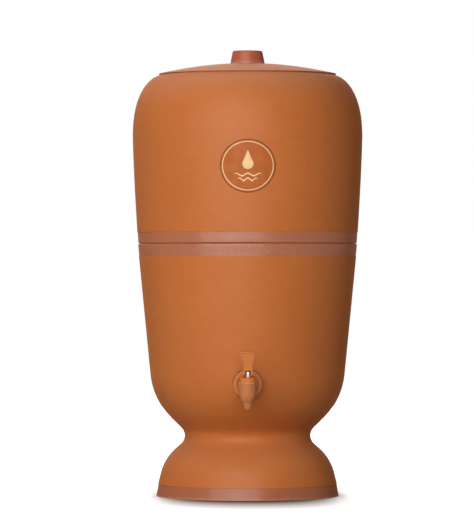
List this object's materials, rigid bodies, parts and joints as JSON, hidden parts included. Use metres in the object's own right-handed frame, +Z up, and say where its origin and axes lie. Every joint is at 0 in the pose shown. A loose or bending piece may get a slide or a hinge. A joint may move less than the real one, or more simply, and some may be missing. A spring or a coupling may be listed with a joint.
{
  "type": "clay water filter",
  "caption": "Two-tank terracotta water filter: footed lower tank with a cam-lever tap, domed upper tank holding a ceramic candle and float valve, and a knobbed lid.",
  "frame": {"origin": "On the ground, at the middle of the bounding box; the tanks' common axis stands at y = +0.0119 because the tap reaches forward", "axes": "+Z up along the tanks' axis, -Y to the front where the tap is, +X to the viewer's right when facing the tap"},
  "size_m": [0.2616, 0.2853, 0.5067],
  "materials": {
    "terracotta": "matte",
    "knob_plastic": "satin",
    "tap_plastic": "satin",
    "bonnet_plastic": "satin",
    "white_plastic": "satin",
    "float_plastic": "satin",
    "candle_ceramic": "matte",
    "carbon": "matte",
    "rubber": "matte",
    "steel": "satin",
    "chrome": "polished"
  },
  "bodies": {
    "base": {"lower_vessel": "terracotta", "tap_body": "tap_plastic", "tap_gasket": "rubber", "tap_inner_washer": "rubber", "tap_nut": "white_plastic", "tap_bonnet": "bonnet_plastic"},
    "stem": {"tap_stem": "chrome", "tap_seat_cup": "rubber"},
    "lever": {"tap_lever": "tap_plastic", "tap_lever_pin": "steel"},
    "upper": {"upper_vessel": "terracotta", "candle_shell": "candle_ceramic", "candle_carbon_core": "carbon", "candle_base": "white_plastic", "candle_gasket": "rubber", "candle_washer": "rubber", "candle_wing_nut": "white_plastic", "float_valve_body": "white_plastic", "float_pivot_pin": "steel"},
    "float_lever": {"float_arm": "white_plastic", "float_seal": "rubber", "float": "float_plastic"},
    "cover": {"lid": "terracotta", "lid_knob": "knob_plastic", "lid_screw": "steel", "lid_screw_washer": "steel"}
  },
  "joints": [
    {"name": "upper_tank_lift", "type": "slide", "parent": "base", "child": "upper", "axis": [0, 0, 1], "range_m": [0, 0.14]},
    {"name": "lid_lift", "type": "slide", "parent": "upper", "child": "cover", "axis": [0, 0, 1], "range_m": [0, 0.1]},
    {"name": "float_swing", "type": "hinge", "parent": "upper", "child": "float_lever", "pos_m": [0, 0.00092, 0.253], "axis": [1, 0, 0], "range_deg": [0, 28]},
    {"name": "tap_stem_lift", "type": "slide", "parent": "base", "child": "stem", "axis": [0, -0.2175, 0.9761], "range_m": [0, 0.003]},
    {"name": "tap_lever_tilt", "type": "hinge", "parent": "stem", "child": "lever", "pos_m": [0, -0.13495, 0.14372], "axis": [1, 0, 0], "range_deg": [0, 75], "stiffness_Nm_per_rad": 0.008, "springref_deg": -5.73}
  ],
  "couplings": [
    {"joint": "tap_lever_tilt", "follows": "tap_stem_lift", "rad_per_m": 436.3}
  ]
}
